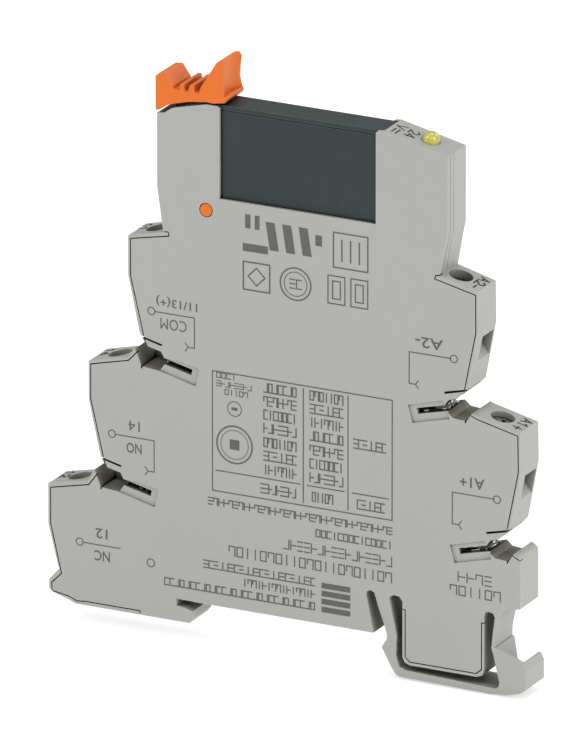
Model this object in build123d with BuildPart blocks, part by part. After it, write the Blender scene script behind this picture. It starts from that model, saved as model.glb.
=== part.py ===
import math
import os

from build123d import *

os.makedirs("parts", exist_ok=True)

# Slim rail-mounted relay module. Millimetres, +Z away from the rail, +Y towards the far face.
# Origin: middle of the seat on the rail flanges, middle of the width.

WIDTH = 6.2  # module pitch
NEAR = -WIDTH / 2
FAR = WIDTH / 2
COVER_T = 0.9  # near side plate
JOINT_GAP = 0.19  # open joint between the side plate and the rim round it
WALL = 0.9  # far wall
IN_NEAR = NEAR + COVER_T
IN_FAR = FAR - WALL
BAY = 2.55  # half width of the relay bay
STRIP_T = 0.6  # busbar thickness
STRIP_Y = 1.4  # busbar half width

RAIL_W = 35.0
TILT = 12.5  # lean of the terminals, degrees
BORE_R = 1.9  # screwdriver hole
HEAD_R = 2.0
HEAD_TOP = 1.25
HEAD_BOTTOM = 2.8
SHAFT_R = 1.25
CAGE_TOP = 5.1
CAGE_IN_TOP = 6.0
CAGE_IN_BOTTOM = 9.2
CAGE_BOTTOM = 10.0
CAGE_S = 2.5
CAGE_Y = 2.1
CAGE_IN_Y = 1.5
TONGUE_TOP = 6.2
FUNNEL_Y0, FUNNEL_Y1 = -1.15, 2.75  # wire funnel, across the width
TONGUE_MID = TONGUE_TOP + STRIP_T / 2

PIVOT = (-12.63, 62.7)
PIVOT_R = 1.0
PIVOT_GAP = 0.13  # play round the pivot pin in the two side walls
THUMB_X, THUMB_R = -10.4, 6.0  # deepest point and radius of the thumb hollow

RELAY_X0, RELAY_X1 = -11.3, 16.7
RELAY_Z0, RELAY_Z1 = 64.5, 79.45
RELAY_Y = 2.5
CASE_T = 0.45
PIN_T, PIN_W = 0.5, 1.0
PIN_TIP = 60.6
PIN_COM, PIN_NO, PIN_NC, PIN_CA, PIN_CB = -4.3, 0.7, 5.7, 11.4, 15.2

LED_X, LED_Z, LED_R = 23.2, 78.17, 1.4
LED_TILT = 12.6

# name: (side, x, z) of the screwdriver hole's centre on the terminal's top face
TERMINALS = {
    "11": (-1, -22.2, 57.5),
    "14": (-1, -28.6, 36.7),
    "12": (-1, -35.4, 16.0),
    "a2": (1, 28.2, 57.6),
    "a1": (1, 35.3, 36.8),
}
SHIFT_L = (-6.88, -20.38)
SHIFT_R = (7.03, -21.1)


def moved(points, by):
    return [(x + by[0], z + by[1]) for x, z in points]


def local(t, d, s):
    """Point d below the terminal's top face along the screw and s inward from the screw."""
    side, cx, cz = TERMINALS[t]
    a = math.radians(TILT)
    return (
        cx - side * d * math.sin(a) - side * s * math.cos(a),
        cz - d * math.cos(a) + s * math.sin(a),
    )


def screw_plane(t, d):
    side, _, _ = TERMINALS[t]
    a = math.radians(TILT)
    x, z = local(t, d, 0.0)
    return Plane(
        origin=(x, 0, z),
        x_dir=(math.cos(a), 0, -side * math.sin(a)),
        z_dir=(side * math.sin(a), 0, math.cos(a)),
    )


def slab(points, y0, y1, mode=Mode.ADD):
    with BuildSketch(Plane.XZ.offset(-y1)) as sk:
        with BuildLine():
            Polyline(*points, close=True)
        make_face()
    extrude(sk.sketch, amount=y1 - y0, dir=(0, -1, 0), mode=mode)


def ribbon(points, width, y0, y1, mode=Mode.ADD):
    with BuildSketch(Plane.XZ.offset(-y1)) as sk:
        with BuildLine():
            Polyline(*points)
        trace(line_width=width)
    extrude(sk.sketch, amount=y1 - y0, dir=(0, -1, 0), mode=mode)


def box(x0, x1, y0, y1, z0, z1, mode=Mode.ADD):
    slab([(x0, z0), (x1, z0), (x1, z1), (x0, z1)], y0, y1, mode)


def rod(x, z, r, y0, y1, mode=Mode.ADD):
    with BuildSketch(Plane.XZ.offset(-y1)) as sk:
        with Locations((x, z)):
            Circle(r)
    extrude(sk.sketch, amount=y1 - y0, dir=(0, -1, 0), mode=mode)


def finish(part, name):
    part.label = name
    export_step(part, "parts/" + name + ".step")


# Bridging channels: mouth between two tiers, then a narrow slot
MOUTH_L = [
    (-24.6, 38.9), (-23.5, 36.25), (-20.5, 36.0), (-19.8, 37.0),
    (-19.6, 38.0), (-20.2, 39.1), (-22.4, 39.6), (-23.4, 40.75),
]
MOUTH_R = [
    (30.6, 40.85), (29.8, 40.0), (29.0, 39.35), (27.7, 38.95), (26.9, 37.85),
    (27.3, 37.2), (28.4, 36.25), (30.7, 36.05), (31.6, 37.45),
]
SLOT_L = ((-15.2, 36.45), (-20.3, 37.64))
SLOT_R = ((22.4, 36.3), (27.6, 37.6))
LEDGE_L = [
    (-20.6, 36.0), (-14.7, 34.5), (-14.35, 34.6), (-13.85, 37.15), (-14.15, 37.45),
    (-16.9, 38.0), (-19.6, 38.15),
]
LEDGE_R = [(20.94, 37.17), (21.72, 34.4), (27.9, 36.0), (27.4, 37.6), (26.7, 38.75)]
GROOVE_L = [(-24.6, 41.4), (-20.0, 40.27), (-20.08, 39.93), (-24.6, 41.05)]
GROOVE_R = [(26.98, 40.2), (31.9, 41.4), (31.9, 41.05), (27.06, 39.85)]
EJECTORS = [(-16.3, 71.0), (21.8, 71.0), (-21.0, 50.0), (27.6, 50.0), (-5.0, 50.0), (10.5, 50.0), (-27.5, 27.5), (34.0, 27.5), (2.6, 27.5), (-32.5, 5.5), (-8.0, 5.0), (27.0, 9.5)]
# narrow notches across the mouths' floors, beside the tiers
NOTCH_L = [(-23.6, 36.9), (-23.62, 35.9), (-23.34, 35.9), (-23.3, 36.9)]
NOTCH_R = [(30.36, 36.6), (30.4, 35.72), (30.68, 35.72), (30.72, 36.6)]
NOTCHES = [NOTCH_L, moved(NOTCH_L, SHIFT_L), NOTCH_R, moved(NOTCH_R, SHIFT_R)]

OUTLINE = (
    [
        (15.33, 0.0), (-14.9, 0.0), (-14.95, 0.05), (-17.7, 0.05), (-17.7, -1.05), (-16.3, -1.2), (-15.05, -1.6),
        (-14.95, -2.75), (-15.5, -3.5), (-34.7, -3.5), (-36.3, -2.9), (-38.6, -2.25),
        (-39.2, -1.7), (-39.2, -0.3), (-37.45, 1.75), (-37.65, 2.05), (-39.3, 8.7),
        (-39.3, 15.05), (-32.6, 16.5),
    ]
    + moved(MOUTH_L, SHIFT_L)
    + [(-30.4, 20.7), (-32.4, 29.7), (-32.4, 35.7), (-25.85, 37.3)]
    + MOUTH_L
    + [
        (-23.8, 41.6), (-25.7, 50.5), (-25.7, 56.7), (-19.8, 58.1), (-20.8, 65.2),
        (-20.8, 76.85), (-19.6, 77.0), (-18.3, 77.95), (-12.6, 79.35), (-10.8, 79.35),
        (-10.4, 79.0), (-10.4, 64.8), (15.6, 64.8), (15.6, 79.2), (15.9, 79.5),
        (16.8, 79.6), (27.5, 77.2), (27.5, 65.5), (26.2, 58.3), (32.5, 56.65),
        (32.6, 50.3), (30.9, 41.1),
    ]
    + MOUTH_R
    + [(32.4, 37.2), (39.6, 35.5), (39.7, 29.4), (38.0, 20.2)]
    + moved(MOUTH_R, SHIFT_R)
    + [
        (39.55, 15.7), (39.7, 15.2), (39.7, 7.7), (37.6, 7.25), (37.0, 7.1),
        (36.4, 6.6), (36.15, 5.8), (35.45, 5.8), (35.2, 6.3), (34.5, 6.47),
        (33.9, 6.25), (33.72, 5.53), (33.72, -3.0), (33.4, -3.85), (32.5, -4.2),
        (21.35, -4.2), (20.5, -3.85), (20.15, -3.0), (20.15, 5.73), (19.66, 6.45),
        (18.68, 6.58), (18.05, 6.25), (17.99, 5.8), (15.63, 5.8), (15.45, 6.45),
        (14.84, 6.72), (14.25, 6.5), (14.06, 6.04),
    ]
)

# Near side plate: set in from the tiers' outer edges, flush everywhere else
COVER = (
    [
        (15.33, 0.0), (-14.9, 0.0), (-14.95, 0.05), (-17.7, 0.05), (-17.7, -1.05), (-16.3, -1.2), (-15.05, -1.6),
        (-14.95, -2.75), (-15.5, -3.5), (-23.7, -3.5), (-23.8, -2.8), (-32.9, -2.8),
        (-34.5, -2.95), (-35.9, -2.4), (-38.6, -1.95), (-38.7, -0.8), (-37.0, 0.95),
        (-38.8, 8.7), (-38.8, 14.4), (-32.4, 15.85), (-31.1, 17.6),
    ]
    + moved(MOUTH_L, SHIFT_L)[1:-1]
    + [(-29.7, 20.1), (-31.95, 29.7), (-31.95, 35.2), (-25.65, 36.75), (-24.25, 38.25)]
    + MOUTH_L[1:-1]
    + [
        (-22.85, 40.5), (-25.2, 50.4), (-25.2, 56.2), (-18.7, 57.55), (-18.9, 58.35),
        (-19.8, 58.3), (-20.8, 65.2), (-20.8, 76.85), (-19.6, 77.0), (-18.3, 77.95),
        (-12.6, 79.35), (-10.8, 79.35), (-10.4, 79.0), (-10.4, 64.8), (15.6, 64.8),
        (15.6, 79.2), (15.9, 79.5), (16.8, 79.6), (27.5, 77.2), (27.5, 65.5),
        (26.2, 58.5), (25.45, 58.35), (25.25, 57.65), (32.05, 56.1), (32.1, 50.2),
        (30.2, 40.7),
    ]
    + MOUTH_R[1:-1]
    + [(31.35, 37.0), (32.45, 36.55), (39.1, 35.0), (39.2, 29.3), (37.3, 19.65)]
    + moved(MOUTH_R, SHIFT_R)[1:-1]
    + [
        (38.4, 15.9), (39.7, 15.2), (39.7, 7.7), (37.6, 7.25), (37.0, 7.1),
        (36.4, 6.6), (36.15, 5.8), (35.45, 5.8), (35.2, 6.3), (34.5, 6.47),
        (33.9, 6.25), (33.72, 5.53), (33.72, 4.6), (33.2, 4.6), (33.2, -2.9),
        (32.4, -3.6), (21.4, -3.6), (20.7, -2.9), (20.7, 4.6), (20.15, 4.6),
        (20.15, 5.73), (19.66, 6.45), (18.68, 6.58), (18.05, 6.25), (17.99, 5.8),
        (15.63, 5.8), (15.45, 6.45), (14.84, 6.72), (14.25, 6.5), (14.06, 6.04),
    ]
)

CAVITY = [
    (13.0, 1.2), (-16.4, 1.2), (-18.8, -2.3), (-34.5, -2.3), (-36.4, -1.2),
    (-36.3, 1.9), (-38.1, 8.8), (-38.1, 13.9), (-33.0, 15.0), (-31.6, 14.5),
    (-26.0, 14.2), (-20.7, 13.6), (-20.7, 20.2), (-26.0, 21.3), (-29.2, 22.0),
    (-31.2, 29.8), (-31.2, 34.8), (-26.2, 36.0), (-24.4, 34.9), (-19.0, 34.6),
    (-13.8, 33.4), (-13.8, 40.2), (-19.2, 41.6), (-22.5, 42.6), (-24.5, 50.7),
    (-24.5, 55.6), (-18.6, 57.0), (-18.6, 60.0), (-19.7, 65.3), (-19.7, 75.9),
    (-18.0, 76.9), (-12.7, 78.3), (-11.5, 78.3), (-11.5, 63.6), (17.6, 63.6),
    (17.6, 78.1), (26.4, 76.1), (26.4, 65.5), (25.1, 58.6), (25.1, 57.4),
    (31.4, 55.7), (31.5, 50.4), (29.8, 42.3), (26.0, 41.3), (20.9, 40.1),
    (20.9, 33.5), (27.5, 34.7), (31.3, 34.8), (32.8, 35.7), (38.5, 34.4),
    (38.6, 29.5), (37.0, 21.3), (33.0, 20.3), (28.0, 19.1), (28.0, 12.4),
    (34.5, 13.6), (38.5, 13.8), (38.5, 8.7), (36.8, 8.3), (13.0, 8.3),
]

SLOTS = {
    "11": SLOT_L,
    "14": tuple(moved(SLOT_L, SHIFT_L)),
    "a2": SLOT_R,
    "a1": tuple(moved(SLOT_R, SHIFT_R)),
}


def along(slot, s, n):
    """Point s from the slot's inner end towards its mouth and n across it."""
    (x0, z0), (x1, z1) = slot
    length = math.hypot(x1 - x0, z1 - z0)
    ux, uz = (x1 - x0) / length, (z1 - z0) / length
    return (x0 + ux * s - uz * n, z0 + uz * s + ux * n)


def slot_rect(slot, s0, s1, half):
    return [along(slot, s0, -half), along(slot, s1, -half), along(slot, s1, half), along(slot, s0, half)]


# Busbars: centre lines in the X-Z plane, each from its clamp to its fork and to its bridging jaw
FORK_Z0, FORK_Z1 = 57.2, 63.2
STRIPS = {
    "11": [
        [local("11", TONGUE_MID, -2.3), local("11", TONGUE_MID, 5.0), (-13.0, 52.9), (PIN_COM, 54.6), (PIN_COM, 57.4)],
        [(-13.0, 52.9), (-13.0, 35.95), along(SLOTS["11"], -0.3, 0.0)],
    ],
    "14": [
        [local("14", TONGUE_MID, -2.3), local("14", TONGUE_MID, 5.0), (PIN_NO, 31.4), (PIN_NO, 57.4)],
        [(-20.0, 31.4), (-20.0, 15.6), along(SLOTS["14"], -0.3, 0.0)],
    ],
    "12": [
        [local("12", TONGUE_MID, -2.3), local("12", TONGUE_MID, 5.0), (PIN_NC, 10.7), (PIN_NC, 57.4)],
    ],
    "a2": [
        [local("a2", TONGUE_MID, -2.3), local("a2", TONGUE_MID, 5.0), (20.2, 52.6), (PIN_CB, 54.2), (PIN_CB, 57.4)],
        [(20.2, 52.6), (20.2, 35.75), along(SLOTS["a2"], -0.3, 0.0)],
    ],
    "a1": [
        [local("a1", TONGUE_MID, -2.3), local("a1", TONGUE_MID, 5.0), (PIN_CA, 31.6), (PIN_CA, 57.4)],
        [(27.2, 31.6), (27.2, 14.65), along(SLOTS["a1"], -0.3, 0.0)],
    ],
}
FORKS = {"11": PIN_COM, "14": PIN_NO, "12": PIN_NC, "a2": PIN_CB, "a1": PIN_CA}
# places where the busbars rest between pads of the two side walls
PADS = [
    (-13.0, 46.0), (-8.0, 53.9), (-20.0, 24.0), (-10.0, 31.4), (0.7, 42.0),
    (-22.0, 10.6), (-8.0, 10.7), (5.7, 20.0), (5.7, 42.0), (20.2, 46.0),
    (17.7, 53.4), (27.2, 24.0), (19.0, 31.6), (11.4, 42.0),
]


SLOT_LEN = {k: math.hypot(v[1][0] - v[0][0], v[1][1] - v[0][1]) for k, v in SLOTS.items()}
WINDOW = [(-10.4, 64.8), (15.6, 64.8), (15.6, 82.0), (-10.4, 82.0)]

# ---------------------------------------------------------------- housing shell
with BuildPart() as shell:
    slab(OUTLINE, IN_NEAR, FAR)
    with BuildSketch(Plane.XZ.offset(-IN_NEAR)) as rim:
        with BuildLine():
            Polyline(*OUTLINE, close=True)
        make_face()
        with BuildSketch(mode=Mode.PRIVATE) as plate:
            with BuildLine():
                Polyline(*COVER, close=True)
            make_face()
            offset(amount=JOINT_GAP, kind=Kind.INTERSECTION)
        add(plate.sketch, mode=Mode.SUBTRACT)
    extrude(rim.sketch, amount=COVER_T, dir=(0, -1, 0))
    slab(CAVITY, IN_NEAR, IN_FAR, Mode.SUBTRACT)
    # bay for the relay, its floor and the window in the far wall
    box(-11.4, 16.8, -BAY, BAY, 64.5, 82.0, Mode.SUBTRACT)
    slab(WINDOW, IN_NEAR, FAR, Mode.SUBTRACT)
    # walls round each clamp and each bridging slot
    with BuildSketch(Plane.XZ.offset(-IN_FAR)) as blocks:
        for t in TERMINALS:
            with BuildLine():
                Polyline(
                    local(t, -1.5, -8), local(t, 12.7, -8), local(t, 12.7, -4.6), local(t, 11.3, -2.9),
                    local(t, 11.3, 3.45), local(t, -1.5, 3.45), close=True,
                )
            make_face()
        for k, slot in SLOTS.items():
            with BuildLine():
                Polyline(*slot_rect(slot, -1.1, SLOT_LEN[k] - 0.2, 1.1), close=True)
            make_face()
        with BuildLine():
            Polyline(*OUTLINE, close=True)
        make_face(mode=Mode.INTERSECT)
    extrude(blocks.sketch, amount=IN_FAR - IN_NEAR, dir=(0, -1, 0))
    for t in TERMINALS:
        slab([local(t, 2.9, -2.62), local(t, 10.4, -2.62), local(t, 10.4, 2.62), local(t, 2.9, 2.62)], IN_NEAR, IN_FAR, Mode.SUBTRACT)
        # wire passage, widening into a funnel on the outside
        slab([local(t, 6.7, -2.0), local(t, 6.7, -4.2), local(t, 9.9, -4.2), local(t, 9.1, -3.2), local(t, 9.1, -2.0)], FUNNEL_Y0, 1.9, Mode.SUBTRACT)
        slab([local(t, 6.7, -3.8), local(t, 8.15, -8), local(t, 13.1, -8), local(t, 9.6, -3.8)], FUNNEL_Y0, FUNNEL_Y1, Mode.SUBTRACT)
        with BuildSketch(screw_plane(t, 1.2)) as bore:
            Circle(BORE_R)
        extrude(bore.sketch, amount=4.0, mode=Mode.SUBTRACT)
        with BuildSketch(screw_plane(t, 3.1)) as seat:
            Circle(HEAD_R + 0.05)
        extrude(seat.sketch, amount=1.9, mode=Mode.SUBTRACT)
    for k, slot in SLOTS.items():
        slab(slot_rect(slot, -0.45, SLOT_LEN[k] + 0.8, 0.5), IN_NEAR, IN_FAR, Mode.SUBTRACT)
        slab(slot_rect(slot, 0.0, SLOT_LEN[k] + 0.8, 0.48), IN_FAR - 0.01, FAR, Mode.SUBTRACT)
    # pads under the busbars, then the passages that the busbars fill
    for x, z in PADS:
        box(x - 0.8, x + 0.8, STRIP_Y, IN_FAR, z - 0.8, z + 0.8)
    for t, paths in STRIPS.items():
        for path in paths:
            ribbon(path, STRIP_T, -STRIP_Y, STRIP_Y, Mode.SUBTRACT)
    # floor of the bay, slotted for the blades, and the forks' nests
    for x in FORKS.values():
        box(x - 0.45, x + 0.45, -0.75, 0.75, 63.0, 65.0, Mode.SUBTRACT)
    box(-11.6, -5.9, IN_NEAR, IN_FAR, 63.0, 65.0, Mode.SUBTRACT)
    # way for the lever's arm through the top of the left post
    box(-19.9, -11.3, -1.6, 1.6, 75.0, 80.0, Mode.SUBTRACT)
    rod(PIVOT[0], PIVOT[1], PIVOT_R + PIVOT_GAP, IN_FAR - 0.01, FAR, Mode.SUBTRACT)
    for notch in NOTCHES:
        slab(notch, NEAR, FAR, Mode.SUBTRACT)
    # low sills on the far side of the left mouths
    for by in ((0.0, 0.0), SHIFT_L):
        slab(moved([(-24.0, 37.0), (-23.3, 37.15), (-21.0, 36.95), (-20.3, 36.0), (-20.4, 35.7), (-24.0, 35.7)], by), IN_FAR, FAR)
    # seams down the right post's narrow face
    for y in (IN_NEAR, IN_NEAR + 1.1):
        ribbon([(27.5, 77.6), (27.5, 65.5), (26.3, 58.9)], 0.22, y, y + 0.12, Mode.SUBTRACT)
    # grooves under the tiers
    for g in (GROOVE_L, moved(GROOVE_L, SHIFT_L), GROOVE_R, moved(GROOVE_R, SHIFT_R)):
        slab(g, NEAR, -1.5, Mode.SUBTRACT)
    # shallow ejector marks on the far face
    for x, z in EJECTORS:
        rod(x, z, 1.25, FAR - 0.08, FAR, Mode.SUBTRACT)
    # hole for the indicator and seat for the board
    a = math.radians(LED_TILT)
    with BuildSketch(Plane(origin=(LED_X - 3 * math.sin(a), 0, LED_Z - 3 * math.cos(a)), x_dir=(math.cos(a), 0, -math.sin(a)), z_dir=(math.sin(a), 0, math.cos(a)))) as led_hole:
        Circle(LED_R + 0.05)
    extrude(led_hole.sketch, amount=5.0, mode=Mode.SUBTRACT)
    box(17.6, 26.4, 1.4, IN_FAR, 61.5, 63.5)
    box(17.6, 26.4, 1.4, IN_FAR, 72.0, 73.5)
    box(17.6, 18.3, 0.0, IN_FAR, 63.5, 72.0)
finish(shell.part, "housing_shell")

# ---------------------------------------------------------------- near side plate
with BuildPart() as cover:
    slab(COVER, NEAR, IN_NEAR)
    box(-11.4, 16.8, -BAY, IN_NEAR, 64.5, 82.0, Mode.SUBTRACT)
    for k, slot in SLOTS.items():
        slab(slot_rect(slot, 0.0, SLOT_LEN[k] + 0.8, 0.48), NEAR, IN_NEAR, Mode.SUBTRACT)
    for ledge in (LEDGE_L, moved(LEDGE_L, SHIFT_L), LEDGE_R, moved(LEDGE_R, SHIFT_R)):
        slab(ledge, NEAR, NEAR + 0.35, Mode.SUBTRACT)
    for g in (GROOVE_L, moved(GROOVE_L, SHIFT_L), GROOVE_R, moved(GROOVE_R, SHIFT_R)):
        slab(g, NEAR, IN_NEAR, Mode.SUBTRACT)
    for notch in NOTCHES:
        slab(notch, NEAR, IN_NEAR, Mode.SUBTRACT)
    rod(PIVOT[0], PIVOT[1], PIVOT_R + PIVOT_GAP, NEAR, IN_NEAR, Mode.SUBTRACT)
    for x, z in PADS:
        box(x - 0.8, x + 0.8, IN_NEAR, -STRIP_Y, z - 0.8, z + 0.8)
finish(cover.part, "side_cover")

# ---------------------------------------------------------------- latch strap
FOOT = [
    (17.45, -1.0), (19.13, -1.0), (19.07, -3.07), (19.56, -4.71), (20.64, -5.12),
    (35.7, -5.6), (36.15, -5.2), (36.27, -4.5), (35.83, -2.66), (35.3, -0.31),
    (34.9, 0.92), (35.5, 0.92), (37.65, 0.03), (40.3, -1.13), (40.7, -2.05),
    (40.7, -5.02), (39.8, -5.73), (37.35, -6.35), (34.4, -6.55), (19.66, -6.3),
    (19.07, -6.04), (18.28, -4.92), (16.7, -2.05), (17.2, -1.1),
]
with BuildPart() as foot:
    slab(FOOT, NEAR, FAR)
    slab([(35.75, 1.2), (36.35, -2.6), (36.85, -4.4), (37.3, -4.9), (39.5, -4.9), (39.9, -4.5), (39.9, 1.2)], IN_NEAR, FAR, Mode.SUBTRACT)
finish(foot.part, "latch_foot")

with BuildPart() as leg_in:
    slab([(15.63, 5.8), (17.99, 5.8), (19.17, 0.0), (19.13, -1.0), (17.45, -1.0), (17.5, 0.0)], NEAR, FAR)
finish(leg_in.part, "latch_leg_inner")

with BuildPart() as leg_out:
    slab([(35.45, 5.8), (36.15, 5.8), (36.03, 5.12), (35.53, 2.36), (35.5, 0.92), (34.9, 0.92), (35.04, 2.36)], NEAR, FAR)
finish(leg_out.part, "latch_leg_outer")

# ---------------------------------------------------------------- busbars
for t, paths in STRIPS.items():
    with BuildPart() as bar:
        for path in paths:
            ribbon(path, STRIP_T, -STRIP_Y, STRIP_Y)
        x = FORKS[t]
        # fork for the relay's blade
        box(x - 0.7, x + 0.7, -0.9, 0.9, FORK_Z0, FORK_Z0 + 0.6)
        box(x - 0.7, x - 0.28, -0.9, 0.9, FORK_Z0, FORK_Z1)
        box(x + 0.28, x + 0.7, -0.9, 0.9, FORK_Z0, FORK_Z1)
        if t in SLOTS:
            # jaw for the plug-in bridge
            s = SLOTS[t]
            n = SLOT_LEN[t] - 0.6
            slab(slot_rect(s, -0.45, -0.1, 0.45), -1.9, 1.9)
            slab([along(s, -0.3, 0.2), along(s, n, 0.17), along(s, n, 0.42), along(s, -0.3, 0.45)], -1.9, 1.9)
            slab([along(s, -0.3, -0.45), along(s, n, -0.42), along(s, n, -0.17), along(s, -0.3, -0.2)], -1.9, 1.9)
    finish(bar.part, "busbar_" + t)

# ---------------------------------------------------------------- clamps
for t in TERMINALS:
    side, _, _ = TERMINALS[t]
    with BuildPart() as screw:
        with BuildSketch(screw_plane(t, HEAD_BOTTOM)) as head:
            Circle(HEAD_R)
        extrude(head.sketch, amount=HEAD_BOTTOM - HEAD_TOP)
        with BuildSketch(screw_plane(t, TONGUE_TOP - 0.05)) as shaft:
            Circle(SHAFT_R)
        extrude(shaft.sketch, amount=TONGUE_TOP - 0.05 - HEAD_BOTTOM + 0.2)
        with BuildSketch(screw_plane(t, HEAD_TOP + 0.9)) as recess:
            Rectangle(5.0, 0.6)
            Rectangle(0.6, 2.4)
        extrude(recess.sketch, amount=2.0, mode=Mode.SUBTRACT)
    finish(screw.part, "screw_" + t)
    with BuildPart() as cage:
        slab([local(t, CAGE_TOP, -CAGE_S), local(t, CAGE_BOTTOM, -CAGE_S), local(t, CAGE_BOTTOM, CAGE_S), local(t, CAGE_TOP, CAGE_S)], -CAGE_Y, CAGE_Y)
        slab([local(t, CAGE_IN_TOP, -3), local(t, CAGE_IN_BOTTOM, -3), local(t, CAGE_IN_BOTTOM, 3), local(t, CAGE_IN_TOP, 3)], -CAGE_IN_Y, CAGE_IN_Y, Mode.SUBTRACT)
        with BuildSketch(screw_plane(t, CAGE_IN_TOP + 0.2)) as thread:
            Circle(SHAFT_R + 0.05)
        extrude(thread.sketch, amount=2.0, mode=Mode.SUBTRACT)
    finish(cage.part, "clamp_" + t)

# ---------------------------------------------------------------- lever
HEAD = [
    (-21.08, 77.3), (-21.08, 82.55), (-20.7, 82.95), (-19.5, 83.05), (-18.25, 81.3),
    (-18.1, 80.9), (-17.1, 80.9), (-16.95, 81.9), (-16.4, 81.9), (-16.2, 80.9),
    (-15.6, 80.9), (-15.4, 81.9), (-14.8, 81.9), (-14.5, 80.9), (-13.8, 80.9),
    (-13.5, 82.0), (-12.9, 82.9), (-10.9, 86.15), (-10.1, 86.35), (-9.65, 85.8),
    (-9.85, 84.0), (-9.92, 82.6), (-9.7, 81.4), (-9.3, 80.45), (-9.54, 80.0),
    (-11.5, 79.62), (-12.58, 79.7), (-15.6, 79.3), (-18.6, 78.5), (-19.3, 78.15),
    (-20.2, 77.5), (-20.6, 77.3),
]
ARM = [
    (-14.3, 80.3), (-11.55, 80.3), (-11.55, 64.42), (-6.6, 64.42), (-6.35, 63.9),
    (-7.5, 62.9), (-10.8, 61.2), (-12.6, 60.8), (-14.3, 61.4), (-14.9, 63.5),
]
with BuildPart() as lever:
    slab(HEAD, -3.0, 3.0)
    slab(ARM, -1.45, 1.45)
    rod(PIVOT[0], PIVOT[1], 1.6, -2.15, 2.15)
    rod(PIVOT[0], PIVOT[1], PIVOT_R, NEAR, FAR)
    # hollow for the thumb
    with BuildSketch(Plane.XY.offset(80.9)) as scoop:
        with Locations((THUMB_X + THUMB_R, 0)):
            Circle(THUMB_R)
    extrude(scoop.sketch, amount=6.0, mode=Mode.SUBTRACT)
finish(lever.part, "eject_lever")

# ---------------------------------------------------------------- relay
X0, X1 = RELAY_X0 + CASE_T, RELAY_X1 - CASE_T
YI = RELAY_Y - CASE_T
with BuildPart() as case:
    box(RELAY_X0, RELAY_X1, -RELAY_Y, RELAY_Y, RELAY_Z0, RELAY_Z1)
    box(X0, X1, -YI, YI, RELAY_Z0, RELAY_Z1 - CASE_T, Mode.SUBTRACT)
    for y0, y1 in ((-RELAY_Y, -RELAY_Y + 0.12), (RELAY_Y - 0.12, RELAY_Y)):
        box(RELAY_X0, RELAY_X1, y0, y1, 78.55, 78.75, Mode.SUBTRACT)
finish(case.part, "relay_case")

PINS = (PIN_COM, PIN_NO, PIN_NC, PIN_CA, PIN_CB)
with BuildPart() as base:
    box(X0, X1, -YI, YI, RELAY_Z0, 66.6)
    for x in PINS:
        box(x - PIN_T / 2, x + PIN_T / 2, -PIN_W / 2, PIN_W / 2, RELAY_Z0, 66.6, Mode.SUBTRACT)
finish(base.part, "relay_base")

with BuildPart() as com:
    box(PIN_COM - 0.25, PIN_COM + 0.25, -0.5, 0.5, PIN_TIP, 67.3)
finish(com.part, "blade_common")

with BuildPart() as no:
    box(PIN_NO - 0.25, PIN_NO + 0.25, -0.5, 0.5, PIN_TIP, 67.2)
    box(PIN_NO - 0.25, PIN_NO + 0.25, -1.95, 0.5, 67.0, 69.0)
    box(-2.9, PIN_NO + 0.25, -1.95, -1.55, 67.0, 69.0)
    box(-2.9, -2.5, -1.95, 1.4, 67.0, 75.5)
    with BuildSketch(Plane(origin=(-2.9, 0, 74.5), x_dir=(0, 1, 0), z_dir=(-1, 0, 0))) as tip:
        Circle(0.7)
    extrude(tip.sketch, amount=0.4)
finish(no.part, "contact_open")

with BuildPart() as nc:
    box(PIN_NC - 0.25, PIN_NC + 0.25, -0.5, 0.5, PIN_TIP, 67.2)
    box(PIN_NC - 0.25, PIN_NC + 0.25, -0.5, 1.95, 67.0, 69.0)
    box(-6.3, PIN_NC + 0.25, 1.55, 1.95, 67.0, 69.0)
    box(-6.3, -5.9, -1.4, 1.95, 67.0, 75.5)
    with BuildSketch(Plane(origin=(-5.9, 0, 74.5), x_dir=(0, 1, 0), z_dir=(1, 0, 0))) as tip:
        Circle(0.7)
    extrude(tip.sketch, amount=1.07)
finish(nc.part, "contact_closed")

SPRING_PIVOT = (PIN_COM, 67.7)
with BuildPart() as blade:
    rod(SPRING_PIVOT[0], SPRING_PIVOT[1], 0.35, -1.3, 1.1)
    box(PIN_COM - 0.1, PIN_COM + 0.1, -1.3, 1.1, 67.7, 77.4)
    with BuildSketch(Plane(origin=(PIN_COM - 0.5, 0, 74.5), x_dir=(0, 1, 0), z_dir=(1, 0, 0))) as tip:
        Circle(0.65)
    extrude(tip.sketch, amount=1.0)
finish(blade.part, "contact_spring")

with BuildPart() as pins:
    for x in (PIN_CA, PIN_CB):
        box(x - 0.25, x + 0.25, -0.5, 0.5, PIN_TIP, 67.5)
finish(pins.part, "coil_blades")

with BuildPart() as bobbin:
    box(1.6, 15.4, -1.3, 1.3, 71.4, 75.4)
    box(1.6, 2.2, -1.95, 1.95, 69.95, 76.8)
    box(14.8, 15.4, -1.95, 1.95, 69.95, 76.8)
    box(1.0, 16.0, -0.9, 0.9, 71.9, 74.9, Mode.SUBTRACT)
finish(bobbin.part, "coil_bobbin")

with BuildPart() as winding:
    with BuildSketch(Plane(origin=(2.2, 0, 73.4), x_dir=(0, 1, 0), z_dir=(1, 0, 0))) as turns:
        RectangleRounded(3.8, 6.4, 1.2)
        Rectangle(2.6, 4.0, mode=Mode.SUBTRACT)
    extrude(turns.sketch, amount=12.6)
finish(winding.part, "coil_winding")

with BuildPart() as core:
    box(1.2, 15.4, -0.9, 0.9, 71.9, 74.9)
finish(core.part, "coil_core")

with BuildPart() as yoke:
    box(0.76, 16.1, -1.8, 1.8, 69.25, 69.9)
    box(15.4, 16.1, -1.8, 1.8, 69.25, 76.0)
finish(yoke.part, "coil_yoke")

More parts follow.
